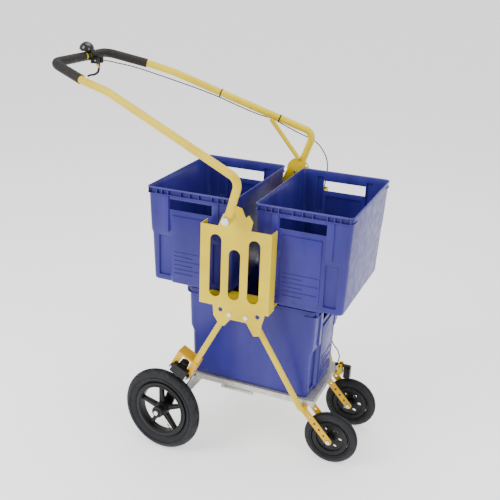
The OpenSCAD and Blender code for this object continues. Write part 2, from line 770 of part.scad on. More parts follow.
// ---------- front brake on the left front tyre ----------
post_x = cross_x + 60;
post_z = cross_z + 48;
arm_y = small_span / 2;
shoe_z = 2 * small_r + 5;
brake_pin_d = 6;
module brake_post() color("gold") placed() difference() {
  union() {
    for (side = [-1, 1])
      translate([post_x - 10, arm_y + side * 14 - 2.5, cross_z + 5]) cube([20, 5, 53]);
    translate([cross_x - 3, arm_y - 16.5, cross_z + 5]) cube([post_x - cross_x + 13, 33, 5]);
  }
  translate([cross_x, 0, cross_z]) rotate([-90, 0, 0]) cylinder(d = leg_d + 0.1, h = 400);
  translate([post_x, arm_y - 40, post_z]) rotate([-90, 0, 0])
    cylinder(d = brake_pin_d + 2 * run_c, h = 80);
}

module brake_arm() color("dimgray") placed() {
  translate([post_x, arm_y - 20, post_z]) rotate([-90, 0, 0]) cylinder(d = brake_pin_d, h = 40);
  translate([post_x - 25, arm_y - 6, post_z - 4]) cube([25, 12, 9]);
  translate([post_x - 5, arm_y - 9, post_z - 4]) cube([53, 18, 9]);
  translate([post_x + 18, arm_y - 14, shoe_z]) cube([30, 28, post_z - shoe_z - 3]);
}

// ---------- brake cable ----------
cable_d = 5;
cable_route = [
  [-916, 108, 1588], [-914, 126, 1587], [-905, 150, 1582], [-888, 178, 1575], [-862, 207, 1565],
  [-820, 234, 1554], [-760, 252, 1539], [-690, 270, 1519], [-600, 290, 1494], [-500, 315, 1464],
  [-396, 337, 1430], [-300, 359, 1392], [-220, 388, 1361], [-160, 412, 1343], [-90, 424, 1310],
  [-30, 440, 1282], [10, 458, 1262], [50, 457, 1243], [84, 446, 1212], [106, 436, 1178],
  [116, 424, 1140], [116, 414, 1090], [108, 406, 1030], [100, 400, 960], [96, 396, 880],
  [98, 392, 790], [106, 385, 710], [122, 374, 640], [148, 352, 560], [178, 324, 480],
  [206, 298, 415], [236, 266, 375], [264, 230, 352], [292, 208, 338], [309, 180, 322],
  [308, 160, 303.2]
];

function spline(p, i, t) = let (
  a = p[max(i - 1, 0)], b = p[i], c = p[i + 1], e = p[min(i + 2, len(p) - 1)]
) 0.5 * (2 * b + (c - a) * t + (2 * a - 5 * b + 4 * c - e) * t * t
  + (3 * b - a - 3 * c + e) * t * t * t);
cable_line = concat(
  [for (i = [0 : len(cable_route) - 2]) for (t = [0, 0.5]) spline(cable_route, i, t)],
  [cable_route[len(cable_route) - 1]]
);

// A round cord swept along a smooth line as one closed skin
module cord(line, d, sides) {
  n = len(line);
  start = [for (k = [0 : sides - 1]) k];
  finish = [for (k = [sides - 1 : -1 : 0]) (n - 1) * sides + k];
  polyhedron(
    [for (i = [0 : n - 1]) each ring(line, i, d, sides)],
    concat([for (i = [0 : n - 2]) each band(0, i, sides, true)], [start, finish]),
    convexity = 12
  );
}

module brake_cable() color("black") placed() cord(cable_line, cable_d, 8);

// ---------- crates ----------
rim_out = 12;
rim_h = 22;
floor_t = 4;

// A thin sheet centred on the Z axis
module sheet(size) translate([-size[0] / 2, -size[1] / 2, 0]) cube([size[0], size[1], 0.01]);

// A block that leans in from its top to its base
module leaning(top, base, h) hull() {
  sheet(base);
  translate([0, 0, h]) sheet(top);
}

module crate() {
  top = [crate_w - 2 * rim_out, crate_l - 2 * rim_out];
  base = [crate_w - 2 * side_lean, crate_l - 2 * end_lean - 16];
  thin = [2 * crate_wall, 2 * crate_wall];
  hold_w = 190;
  hold_z = crate_h - 88;
  difference() {
    union() {
      leaning(top, base, crate_h);
      translate([-crate_w / 2, -crate_l / 2, crate_h - rim_h]) cube([crate_w, crate_l, rim_h]);
      for (s = [-1, 1]) for (x = [-hold_w / 2 - 26, hold_w / 2 + 22])
        translate([x, s * (crate_l / 2 - 14) - 6, crate_h - 110]) cube([4, 12, 100]);
    }
    translate([0, 0, floor_t]) leaning(top - thin, base - thin, crate_h - floor_t + cut);
    for (s = [-1, 1]) translate([-hold_w / 2, s * crate_l / 2 - 40, hold_z]) cube([hold_w, 80, 44]);
    for (s = [-1, 1]) translate([0, s * (crate_l / 2 - 5), crate_h - rim_h - cut])
      cube([crate_w - 12, 5, 2 * (rim_h - 4)], center = true);
  }
}

module upper_crate(side) placed() translate([side * (crate_gap + crate_w) / 2, 0, deck_z]) crate();
module upper_crate_rear() color("mediumblue") upper_crate(-1);
module upper_crate_front() color("mediumblue") upper_crate(1);
module lower_crate() color("mediumblue") placed() translate([2, 0, tray_z]) rotate(90) crate();

// ---------- output ----------
side_plate_right();
side_plate_left();
leg_bracket_right();
leg_bracket_left();
front_leg_tube();
rear_leg_right();
rear_leg_left();
wheel_bracket_right();
wheel_bracket_left();
load_tray();
rear_rail();
cradle_rails();
tray_foot_bar();
fork_bars_right();
fork_bars_left();
plate_bolts();
rail_bolts();
pivot_bolts();
pivot_bushes();
lock_bracket();
lock_pin();
lock_knob();
handle_tube();
handle_eyes();
grip_right();
grip_left();
brace_tube();
index_disc();
lever_clamp();
cable_ties();
brake_lever();
lever_pin();
bell_base();
bell_dome();
bell_striker();
caster_head_right();
caster_head_left();
caster_head_bolts();
caster_fork_right();
caster_fork_left();
rear_axle_right();
rear_axle_left();
rear_rim_right();
rear_rim_left();
rear_tyre_right();
rear_tyre_left();
front_axles();
front_rim_right();
front_rim_left();
front_tyre_right();
front_tyre_left();
brake_arm();
brake_post();
brake_cable();
upper_crate_rear();
upper_crate_front();
lower_crate();
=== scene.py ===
# %% [markdown]
# # A garden cart for stacking crates
#
# The real cart is a yellow steel frame with a tilting tube handle, two blue crates hung between
# side plates, a third on a galvanised tray, big steered wheels behind and small wheels in front.
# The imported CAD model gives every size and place. Here its parts get their finishes, and the
# pieces whose look needs more than the CAD holds are modelled again in the same places.

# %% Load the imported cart
import bpy
import json
import math
from mathutils import Matrix, Vector


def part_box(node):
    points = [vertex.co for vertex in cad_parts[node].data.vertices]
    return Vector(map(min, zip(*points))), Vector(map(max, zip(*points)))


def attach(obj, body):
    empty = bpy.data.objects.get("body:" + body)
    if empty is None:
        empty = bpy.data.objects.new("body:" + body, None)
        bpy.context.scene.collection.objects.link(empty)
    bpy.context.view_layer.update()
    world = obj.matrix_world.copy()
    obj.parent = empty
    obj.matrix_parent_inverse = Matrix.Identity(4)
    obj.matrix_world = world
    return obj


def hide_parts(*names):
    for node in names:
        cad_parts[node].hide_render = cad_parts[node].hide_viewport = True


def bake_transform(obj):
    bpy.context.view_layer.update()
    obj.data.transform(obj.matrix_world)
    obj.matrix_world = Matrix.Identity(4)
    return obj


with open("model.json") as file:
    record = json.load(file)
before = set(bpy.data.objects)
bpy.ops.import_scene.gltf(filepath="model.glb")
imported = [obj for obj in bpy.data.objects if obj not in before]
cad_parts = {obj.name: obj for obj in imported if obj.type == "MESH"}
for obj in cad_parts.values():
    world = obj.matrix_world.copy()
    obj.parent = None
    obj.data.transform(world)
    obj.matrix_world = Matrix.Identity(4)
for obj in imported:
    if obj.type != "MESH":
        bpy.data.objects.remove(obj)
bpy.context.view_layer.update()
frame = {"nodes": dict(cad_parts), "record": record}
JOINTS = {joint["name"]: joint for joint in frame["record"]["behaviour"]["joints"]}
rear_crate_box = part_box("upper_crate_rear")
front_crate_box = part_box("upper_crate_front")
MID_X = (rear_crate_box[1].x + front_crate_box[0].x) / 2
print("middle between the upper crates, x =", round(MID_X, 4))

# %% [markdown]
# ## Camera
#
# A camera is placed by where it stands and which way it looks. Its turn is written as three
# angles: round the cart, above the horizon, and a slight roll. The lens shift keeps upright
# lines as they are while the cart sits a little off the middle of the frame.

# %% Camera
CAMERA_AT = Vector((1.3376, -3.0520, 2.1237))
AZIMUTH, ELEVATION, ROLL = (math.radians(a) for a in (23.64, 19.62, -1.66))

forward = Vector((-math.sin(AZIMUTH) * math.cos(ELEVATION),
                  math.cos(AZIMUTH) * math.cos(ELEVATION), -math.sin(ELEVATION)))
level_right = forward.cross(Vector((0, 0, 1))).normalized()
level_down = forward.cross(level_right)
right = math.cos(ROLL) * level_right + math.sin(ROLL) * level_down
down = -math.sin(ROLL) * level_right + math.cos(ROLL) * level_down

camera_data = bpy.data.cameras.new("camera")
camera_data.lens = 57.57
camera_data.shift_x, camera_data.shift_y = 0.0559, -0.0503
camera_data.clip_end = 200
camera = bpy.data.objects.new("camera", camera_data)
bpy.context.collection.objects.link(camera)
camera.matrix_world = (Matrix.Translation(CAMERA_AT)
                       @ Matrix((right, -down, -forward)).transposed().to_4x4())
bpy.context.scene.camera = camera
print("camera stands at", tuple(round(c, 3) for c in CAMERA_AT))

# %% [markdown]
# ## Helpers for modelling
#
# Modelling operators act on whatever is selected, so each step first says exactly which piece,
# and which of its faces, edges or corners, it means.

# %% Selecting
def only(piece):
    """Make piece the one selected, active object."""
    bpy.ops.object.select_all(action="DESELECT")
    piece.select_set(True)
    bpy.context.view_layer.objects.active = piece


def pick(piece, kind, test):
    """Open piece in edit mode with only the faces, edges or corners that pass the test selected."""
    only(piece)
    bpy.ops.object.mode_set(mode="EDIT")
    bpy.ops.mesh.select_mode(type=kind)
    bpy.ops.mesh.select_all(action="DESELECT")
    bpy.ops.object.mode_set(mode="OBJECT")
    corners = piece.data.vertices
    if kind == "FACE":
        for face in piece.data.polygons:
            face.select = test(face.center, face.normal)
    elif kind == "EDGE":
        for edge in piece.data.edges:
            a, b = (corners[i].co for i in edge.vertices)
            edge.select = test((a + b) / 2, (b - a))
    else:
        for corner in corners:
            corner.select = test(corner.co)
    bpy.ops.object.mode_set(mode="EDIT")


def done():
    bpy.ops.object.mode_set(mode="OBJECT")


def cut(piece, point, normal):
    """Cut every face of piece along a plane, keeping both sides."""
    only(piece)
    bpy.ops.object.mode_set(mode="EDIT")
    bpy.ops.mesh.select_all(action="SELECT")
    bpy.ops.mesh.bisect(plane_co=point, plane_no=normal)
    done()


def modify(piece, kind, **settings):
    """Add a modifier with these settings and apply it."""
    only(piece)
    modifier = piece.modifiers.new(kind.lower(), kind)
    for key, value in settings.items():
        setattr(modifier, key, value)
    bpy.ops.object.modifier_apply(modifier=modifier.name)


def ease(piece, width, segments=2, angle=40):
    """Round every edge sharper than the angle."""
    modify(piece, "BEVEL", width=width, segments=segments, limit_method="ANGLE",
           angle_limit=math.radians(angle))


def block(size, centre):
    """A box of that size about a centre, ready to shape."""
    bpy.ops.object.select_all(action="DESELECT")
    bpy.ops.mesh.primitive_cube_add(size=1, location=centre)
    piece = bpy.context.object
    piece.scale = size
    bpy.ops.object.transform_apply(location=True, rotation=True, scale=True)
    return piece


def drum(radius, depth, centre, sides=48):
    """An upright cylinder, ready to shape."""
    bpy.ops.object.select_all(action="DESELECT")
    bpy.ops.mesh.primitive_cylinder_add(vertices=sides, radius=radius, depth=depth, location=centre)
    bpy.ops.object.transform_apply(location=True, rotation=True, scale=True)
    return bpy.context.object


def joined(pieces):
    """Join pieces into the first of them."""
    only(pieces[0])
    for piece in pieces[1:]:
        piece.select_set(True)
    bpy.ops.object.join()
    return bpy.context.object


def copied(piece):
    """A copy of piece with its own mesh."""
    twin = piece.copy()
    twin.data = piece.data.copy()
    bpy.context.collection.objects.link(twin)
    return twin


def moved(piece, matrix):
    """Put piece where matrix says, with the place kept in its mesh."""
    piece.data.transform(matrix)
    piece.data.update()
    return piece


def finish_piece(piece, name, finish, body, replaces=(), smooth=35):
    """Name a piece, give it its finish, and fix it to its CAD body."""
    piece.name = name
    piece.data.materials.clear()
    piece.data.materials.append(finish)
    only(piece)
    bpy.ops.object.shade_smooth_by_angle(angle=math.radians(smooth))
    if body:
        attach(piece, body)
    if replaces:
        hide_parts(*replaces)
    print(name, len(piece.data.polygons), "faces")
    return piece


# %% [markdown]
# ## Bent tubes
#
# A tube bender works to straight runs and bend radii. The same two lists give the tube's middle
# line here, and a curve with a round bevel turns that line into the tube itself.

# %% Lines with rounded corners
def rounded_line(points, radii, step=5):
    """Points along a line whose corners are bent to the radii, one about every step degrees."""
    line = [points[0]]
    for before, corner, after, radius in zip(points, points[1:], points[2:], radii):
        u, w = (corner - before).normalized(), (after - corner).normalized()
        turn = u.angle(w)
        side = u.cross(w).normalized().cross(u)
        start = corner - radius * math.tan(turn / 2) * u
        count = math.ceil(math.degrees(turn) / step)
        line += [start + radius * math.sin(turn * i / count) * u
                 + radius * (1 - math.cos(turn * i / count)) * side for i in range(count + 1)]
    return line + [points[-1]]


def swept(line, radius, thickness=None, round_steps=6):
    """A round bar along a line of points; thickness scales the radius at each point."""
    curve = bpy.data.curves.new("line", "CURVE")
    curve.dimensions = "3D"
    spline = curve.splines.new("POLY")
    spline.points.add(len(line) - 1)
    for i, (point, place) in enumerate(zip(spline.points, line)):
        point.co = (*place, 1)
        point.radius = thickness[i] if thickness else 1
    curve.bevel_depth, curve.bevel_resolution = radius, round_steps
    curve.use_fill_caps = True
    bar = bpy.data.objects.new("bar", curve)
    bpy.context.collection.objects.link(bar)
    only(bar)
    bpy.ops.object.convert(target="MESH")
    bar = bpy.context.object
    only(bar)
    bpy.ops.object.mode_set(mode="EDIT")
    bpy.ops.mesh.select_all(action="SELECT")
    bpy.ops.mesh.remove_doubles(threshold=0.00001)
    bpy.ops.mesh.normals_make_consistent(inside=False)
    done()
    return bar


# %% [markdown]
# ## Finishes
#
# Every finish starts from one shader. A large soft noise shifts its colour a little, as sun,
# dust and handling do, and a fine noise gives the grain that breaks up the highlights and
# lifts or lowers the roughness from place to place.

# %% A worn surface
def linear(r, g, b):
    """A colour given as a screen shows it, as the shader wants it."""
    return tuple((c / 12.92 if c <= 0.04045 else ((c + 0.055) / 1.055) ** 2.4)
                 for c in (r / 255, g / 255, b / 255)) + (1,)


class Finish:
    """A material with its coordinates and shader ready to be linked."""

    def __init__(self, name, **sockets):
        self.material = bpy.data.materials.new(name)
        self.material.use_nodes = True
        self.nodes = self.material.node_tree.nodes
        self.links = self.material.node_tree.links
        self.shader = self.nodes["Principled BSDF"]
        self.coords = self.nodes.new("ShaderNodeTexCoord")
        for socket, value in sockets.items():
            self.shader.inputs[socket.replace("_", " ")].default_value = value

    def add(self, kind, **inputs):
        node = self.nodes.new(kind)
        for key, value in inputs.items():
            node.inputs[key.replace("_", " ")].default_value = value
        return node

    def noise(self, scale, detail=4, stretch=(1, 1, 1)):
        mapping = self.add("ShaderNodeMapping", Scale=stretch)
        node = self.add("ShaderNodeTexNoise", Scale=scale, Detail=detail)
        self.links.new(self.coords.outputs["Object"], mapping.inputs["Vector"])
        self.links.new(mapping.outputs["Vector"], node.inputs["Vector"])
        return node.outputs["Fac"]

    def cells(self, scale):
        node = self.add("ShaderNodeTexVoronoi", Scale=scale)
        self.links.new(self.coords.outputs["Object"], node.inputs["Vector"])
        return node.outputs["Distance"]

    def ranged(self, value, low, high, to_low, to_high):
        node = self.add("ShaderNodeMapRange", From_Min=low, From_Max=high,
                        To_Min=to_low, To_Max=to_high)
        self.links.new(value, node.inputs["Value"])
        return node.outputs["Result"]

    def colour(self, amount, first, second):
        """Blend two colours by an amount."""
        ramp = self.nodes.new("ShaderNodeValToRGB")
        ramp.color_ramp.elements[0].color = first
        ramp.color_ramp.elements[1].color = second
        self.links.new(amount, ramp.inputs["Fac"])
        self.links.new(ramp.outputs["Color"], self.shader.inputs["Base Color"])
        return ramp

    def rough(self, value):
        self.links.new(value, self.shader.inputs["Roughness"])

    def bump(self, height, strength, distance, after=None):
        node = self.add("ShaderNodeBump", Strength=strength, Distance=distance)
        self.links.new(height, node.inputs["Height"])
        if after:
            self.links.new(after.outputs["Normal"], node.inputs["Normal"])
        self.links.new(node.outputs["Normal"], self.shader.inputs["Normal"])
        return node


# %% [markdown]
# ### Powder coat
#
# The frame is powder coated: an even, slightly wavy skin with a soft gloss, a little darker
# where dirt rubs in. The clear layer on top is the shader's coat.

# %% Yellow powder coat, and a darker orange copy of it that paints shade
def powder_coat(name, main, deep):
    paint = Finish(name, Coat_Weight=0.08, Coat_Roughness=0.2, Specular_IOR_Level=0.3)
    soil = paint.noise(7, 6)
    paint.colour(paint.ranged(soil, 0.38, 0.72, 0, 1), main, deep)
    paint.rough(paint.ranged(paint.noise(60, 3), 0.3, 0.7, 0.27, 0.42))
    peel = paint.bump(paint.noise(420, 2), 0.12, 0.0006)
    paint.bump(paint.noise(35, 2), 0.10, 0.0015, after=peel)
    return paint.material


YELLOW = powder_coat("yellow_powder_coat", linear(218, 190, 0), linear(202, 172, 0))
# A darker, more orange copy of the yellow coat: painted shade for the wheel bracket and fork bars.
SHADED_YELLOW = powder_coat("orange_powder_coat", linear(220, 172, 0), linear(202, 152, 0))
print("powder coats made")

# %% [markdown]
# ### Bare and plated metal
#
# Galvanised sheet shows zinc crystals, which a cell pattern gives. Zinc-plated bolts are
# brighter and smoother. Black oxide is a thin dark film on steel.

# %% Metals
def galvanised():
    zinc = Finish("galvanised_sheet", Metallic=0.55)
    crystals = zinc.cells(70)
    zinc.colour(zinc.ranged(crystals, 0.0, 0.9, 0, 1), linear(206, 204, 198), linear(178, 177, 172))
    zinc.rough(zinc.ranged(zinc.noise(24, 5), 0.3, 0.7, 0.32, 0.52))
    zinc.bump(zinc.noise(160, 4), 0.15, 0.0006)
    return zinc.material


def plated(name, light, dark, low, high):
    metal = Finish(name, Metallic=0.9)
    metal.colour(metal.ranged(metal.noise(45, 5), 0.3, 0.7, 0, 1), light, dark)
    metal.rough(metal.ranged(metal.noise(150, 3), 0.3, 0.7, low, high))
    metal.bump(metal.noise(500, 2, (1, 1, 4)), 0.12, 0.0004)
    return metal.material


GALVANISED = galvanised()
ZINC = plated("zinc_plate", linear(226, 229, 235), linear(198, 201, 208), 0.2, 0.36)
BLACK_OXIDE = plated("black_oxide", linear(62, 60, 58), linear(40, 39, 38), 0.35, 0.5)
BRASS = plated("brass", linear(216, 190, 120), linear(186, 156, 84), 0.25, 0.4)

# %% [markdown]
# ### Plastics and rubber
#
# Moulded plastic has a fine grain pressed in by its mould. The tyres are duller and slightly
# dusty. The foam of the grips is covered in tiny open cells.

# %% Plastics, rubber and foam
def moulded(name, light, dark, low, high, grain=600, coat=0.0):
    plastic = Finish(name, Coat_Weight=coat, Coat_Roughness=0.08, Specular_IOR_Level=0.28)
    plastic.colour(plastic.ranged(plastic.noise(16, 5), 0.3, 0.7, 0, 1), light, dark)
    plastic.rough(plastic.ranged(plastic.noise(70, 4), 0.3, 0.7, low, high))
    plastic.bump(plastic.noise(grain, 2), 0.15, 0.0005)
    return plastic.material


def foam():
    sponge = Finish("closed_cell_foam", Specular_IOR_Level=0.25)
    cells = sponge.cells(520)
    sponge.colour(sponge.ranged(cells, 0.0, 0.8, 0, 1), linear(20, 18, 17), linear(38, 35, 32))
    sponge.rough(sponge.ranged(sponge.noise(40, 4), 0.3, 0.7, 0.48, 0.7))
    sponge.bump(cells, 0.3, 0.0006)
    return sponge.material


BLACK_PLASTIC = moulded("black_nylon", linear(20, 20, 22), linear(14, 14, 16), 0.3, 0.5)
RUBBER = moulded("tyre_rubber", linear(31, 32, 36), linear(22, 23, 27), 0.5, 0.72, grain=350)
SHEATH = moulded("cable_sheath", linear(18, 18, 19), linear(12, 12, 14), 0.3, 0.45)
ENAMEL = moulded("black_enamel", linear(16, 16, 18), linear(12, 12, 13), 0.08, 0.16, coat=0.6)
FOAM = foam()

# %% [markdown]
# ### Crate plastic
#
# The crates are polypropylene. Long soft streaks run down the walls where the melt flowed in
# the mould, and stacking leaves faint pale rubs on the surface.

# %% Blue polypropylene
def crate_plastic():
    blue = Finish("blue_polypropylene", Coat_Weight=0.05, Coat_Roughness=0.25,
                  Specular_IOR_Level=0.3)
    flow = blue.noise(9, 4, (1, 1, 0.25))
    ramp = blue.colour(blue.ranged(flow, 0.3, 0.72, 0, 1), linear(32, 27, 108), linear(40, 34, 118))
    rubs = ramp.color_ramp.elements.new(0.96)
    rubs.color = linear(48, 43, 130)
    blue.rough(blue.ranged(blue.noise(26, 5), 0.3, 0.7, 0.3, 0.46))
    grain = blue.bump(blue.noise(520, 2), 0.12, 0.0004)
    blue.bump(blue.noise(11, 2), 0.12, 0.0015, after=grain)
    return blue.material


BLUE = crate_plastic()
print("finishes made:", len(bpy.data.materials))

# %% [markdown]
# ### Finishes on the CAD parts
#
# A CAD part whose shape is already right keeps it. Each one takes the finish of what it is
# made of, named by the start of its name. The wheel bracket and fork bars instead take the darker
# orange copy of the yellow coat, which is painted shade.

# %% Dress the CAD parts
FINISH_OF = {
    "side_plate": YELLOW, "leg_bracket": YELLOW, "rear_leg": YELLOW, "cradle": YELLOW,
    "lock_bracket": YELLOW, "handle_eyes": YELLOW, "brace": YELLOW, "index": YELLOW,
    "brake_post": YELLOW, "front_leg": YELLOW, "handle_tube": YELLOW,
    # The wheel bracket and fork bars take the orange copy of the yellow: painted shade, not their own
    # paint.
    "wheel_bracket": SHADED_YELLOW, "fork_bars": SHADED_YELLOW,
    "load_tray": GALVANISED, "rear_rail": GALVANISED, "tray_foot": GALVANISED,
    "plate_bolts": ZINC, "pivot": ZINC, "lock_pin": ZINC, "lever_pin": ZINC,
    "caster_head_bolts": ZINC, "front_axles": ZINC, "rear_axle": ZINC,
    "rail_bolts": BLACK_OXIDE, "brake_arm": BLACK_OXIDE, "lever_clamp": BLACK_OXIDE,
    "brake_lever": BLACK_OXIDE,
    "caster_head_r": BLACK_PLASTIC, "caster_head_l": BLACK_PLASTIC, "caster_fork": BLACK_PLASTIC,
    "rear_rim": BLACK_PLASTIC, "front_rim": BLACK_PLASTIC, "lock_knob": BLACK_PLASTIC,
    "cable_ties": BLACK_PLASTIC, "bell_base": BLACK_PLASTIC,
    "bell_dome": ENAMEL, "bell_striker": ENAMEL,
    "rear_tyre": RUBBER, "front_tyre": RUBBER, "grip": FOAM, "brake_cable": SHEATH,
    "upper_crate": BLUE, "lower_crate": BLUE,
}
for name, part in frame["nodes"].items():
    start = max((key for key in FINISH_OF if name.startswith(key)), key=len)
    part.data.materials.clear()
    part.data.materials.append(FINISH_OF[start])
print("dressed", len(frame["nodes"]), "CAD parts")

# %% [markdown]
# ## Brake cable
#
# The cable is a steel wire in a stiff plastic sheath. It leaves the lever's clamp towards the
# left, swings under the left arm, is tied to it twice, makes a free loop round the pivot and
# runs down outside the frame to the front brake. It is one tube along a smooth line through
# listed points.

# %% Brake cable
CABLE_D = 0.005
CABLE_POINTS = [
    (-0.691, 0.108, 1.588), (-0.689, 0.126, 1.587), (-0.680, 0.150, 1.582), (-0.663, 0.178, 1.575),
    (-0.637, 0.207, 1.565), (-0.595, 0.234, 1.554), (-0.535, 0.252, 1.539), (-0.465, 0.270, 1.519),
    (-0.375, 0.290, 1.494), (-0.275, 0.315, 1.464), (-0.171, 0.337, 1.430), (-0.075, 0.359, 1.392),
    (0.005, 0.388, 1.361), (0.065, 0.412, 1.343), (0.135, 0.424, 1.310), (0.195, 0.440, 1.282),
    (0.235, 0.458, 1.262), (0.275, 0.457, 1.243), (0.309, 0.446, 1.212), (0.331, 0.436, 1.178),
    (0.341, 0.424, 1.140), (0.341, 0.414, 1.090), (0.333, 0.406, 1.030), (0.325, 0.400, 0.960),
    (0.321, 0.396, 0.880), (0.323, 0.392, 0.790), (0.331, 0.385, 0.710), (0.347, 0.374, 0.640),
    (0.373, 0.352, 0.560), (0.403, 0.324, 0.480), (0.431, 0.298, 0.415), (0.461, 0.266, 0.375),
    (0.489, 0.230, 0.352), (0.517, 0.208, 0.338), (0.534, 0.180, 0.322), (0.533, 0.160, 0.3032),
]


def smooth_line(points, steps):
    """A smooth line through every point."""
    line = []
    for i in range(len(points) - 1):
        a, b, c, e = (Vector(points[min(max(j, 0), len(points) - 1)])
                      for j in (i - 1, i, i + 1, i + 2))
        for k in range(steps):
            t = k / steps
            line.append(0.5 * (2 * b + (c - a) * t + (2 * a - 5 * b + 4 * c - e) * t * t
                               + (3 * b - a - 3 * c + e) * t ** 3))
    return line + [Vector(points[-1])]


cable_line = smooth_line(CABLE_POINTS, 6)
cable = finish_piece(swept(cable_line, CABLE_D / 2, round_steps=3), "brake_cable_sheath", SHEATH,
                     None, ["brake_cable"], smooth=60)
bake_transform(cable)

# %% [markdown]
# ## Handle and front legs
#
# The handle is one long tube bent eight times, and the front legs are a second tube bent
# twice. Their runs and bends are the CAD's own, but with smooth rounds in the bends.

# %% Handle tube
PIVOT = Vector(JOINTS["handle_tilt"]["pos_m"])
PIVOT_Y = 0.418
HANDLE_D = 0.033
HANDLE_RUNS = [(0.005, -0.002, 0.017), (0.053, -0.024, 0.170), (-0.600, 0.122, 0.412),
               (-0.716, 0.134, 0.440), (-0.916, 0.207, 0.490)]
HANDLE_BENDS = [0.042, 0.160, 0.120, 0.062]


def handle_point(i, side):
    along, inset, up = HANDLE_RUNS[i]
    return PIVOT + Vector((along, side * (PIVOT_Y - inset), up))


right_side = [handle_point(i, -1) for i in range(5)]
left_side = [handle_point(i, 1) for i in range(4, -1, -1)]
handle_line = rounded_line(right_side + left_side, HANDLE_BENDS + HANDLE_BENDS[::-1])
finish_piece(swept(handle_line, HANDLE_D / 2), "handle_bent_tube", YELLOW, "handle",
             ["handle_tube"])

# %% Front leg tube
LEG_D = 0.025
KNEE_BEND = 0.030
leg_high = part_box("front_leg_tube")[1]
LEG_TOP = Vector((MID_X + 0.088, -0.3455, 0.676))
KNEE = Vector((MID_X + 0.264, -0.2165, 0.248))
across = Vector((1, -1, 1))
leg_line = rounded_line([LEG_TOP, KNEE, KNEE * across, LEG_TOP * across], [KNEE_BEND, KNEE_BEND])
finish_piece(swept(leg_line, LEG_D / 2), "front_leg_bent_tube", YELLOW, "frame",
             ["front_leg_tube"])
print("legs reach up to", round(leg_high.z, 3))

# %% [markdown]
# ## Foam grips
#
# Foam sleeves are pushed over the tube and follow its bend. Each is a thicker sweep along the
# same line, with its end edges eased, as soft foam never keeps a sharp edge.

# %% Grips
GRIP_D = 0.041
GRIP_ENDS = {"right": 0.019, "left": 0.111}
for side, sign in (("right", -1), ("left", 1)):
    corner, before = handle_point(4, sign), handle_point(3, sign)
    stop = Vector((corner.x, GRIP_ENDS[side], corner.z))
    sleeve_line = rounded_line([before.lerp(corner, 0.1), corner, stop], [HANDLE_BENDS[3]])
    sleeve = swept(sleeve_line, GRIP_D / 2, round_steps=8)
    ease(sleeve, 0.0025, 3, 60)
    finish_piece(sleeve, "foam_grip_" + side, FOAM, "handle", ["grip_" + side])

# %% [markdown]
# ## Brake lever and cable adjuster
#
# The lever is a forged blade: round and thick at its hinge, then flatter and slightly curved
# along the fingers. A brass barrel on the clamp takes up slack in the cable.

# %% Brake lever
HINGE = Vector(JOINTS["brake_pull"]["pos_m"])
HINGE.y = sum(c.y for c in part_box("lever_clamp")) / 2
blade_line = smooth_line([HINGE + Vector(offset) for offset in (
    (0.002, 0.000, -0.004), (0.003, -0.001, -0.030), (0.003, -0.010, -0.052),
    (0.003, -0.036, -0.060), (0.003, -0.068, -0.059), (0.003, -0.093, -0.060))], 5)
blade = swept(blade_line, 0.0062, [1 - 0.25 * i / len(blade_line) for i in range(len(blade_line))])
boss = drum(0.009, 0.010, (0, 0, 0), 32)
ease(boss, 0.001)
moved(boss, Matrix.Translation(HINGE) @ Matrix.Rotation(math.pi / 2, 4, "X"))
finish_piece(joined([blade, boss]), "brake_lever_blade", BLACK_OXIDE, "brake_lever",
             ["brake_lever"])

# %% Brass adjuster
barrel = drum(0.0045, 0.016, (0, 0, 0), 24)
pick(barrel, "FACE", lambda centre, normal: normal.z > 0.9)
bpy.ops.mesh.inset(thickness=0.0015)
bpy.ops.mesh.extrude_region_move(TRANSFORM_OT_translate={"value": (0, 0, 0.006)})
done()
nut = drum(0.0068, 0.004, (0, 0, -0.004), 6)
adjuster = joined([barrel, nut])
ease(adjuster, 0.0004)
clamp_low, clamp_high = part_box("lever_clamp")
moved(adjuster, Matrix.Translation((clamp_high.x - 0.004, clamp_low.y + 0.006, clamp_low.z - 0.006))
      @ Matrix.Rotation(math.radians(150), 4, "Y"))
finish_piece(adjuster, "brass_adjuster", BRASS, "handle")

# %% [markdown]
# ## Crates
#
# A stack-and-nest crate is one thin moulding. Its long sides are smooth and its ends carry
# everything: a ledge a little below half height, posts beside the hand-hold, a bulged middle
# panel, and a rim of two flanges with small cells between. One crate is modelled standing at
# the origin, then copied three times. It starts as an open box that is cut along planes, so
# that each feature is a group of faces that can be pushed in or out, and the wall gets its
# thickness at the end.

# %% The crate's sizes
CRATE = front_crate_box[1] - front_crate_box[0]
TOP = Vector((CRATE.x / 2 - 0.003, CRATE.y / 2 - 0.012))
BASE = Vector((CRATE.x / 2 - 0.022, CRATE.y / 2 - 0.020))
WALL = 0.003
HOLD_HALF, HOLD_LOW, HOLD_HIGH = 0.095, CRATE.z - 0.088, CRATE.z - 0.044
POST = (0.0975, 0.126)
PANEL_HALF, PANEL_LOW, PANEL_HIGH = 0.082, 0.028, 0.306
LEDGE = (0.206, 0.232)
CHANNEL = 0.150
RIM_LOW = CRATE.z - 0.026
print("crate", [round(c, 3) for c in CRATE])


def end_y(z):
    """Distance from the middle to a crate's end wall at a height."""
    return BASE.y + (TOP.y - BASE.y) * z / CRATE.z


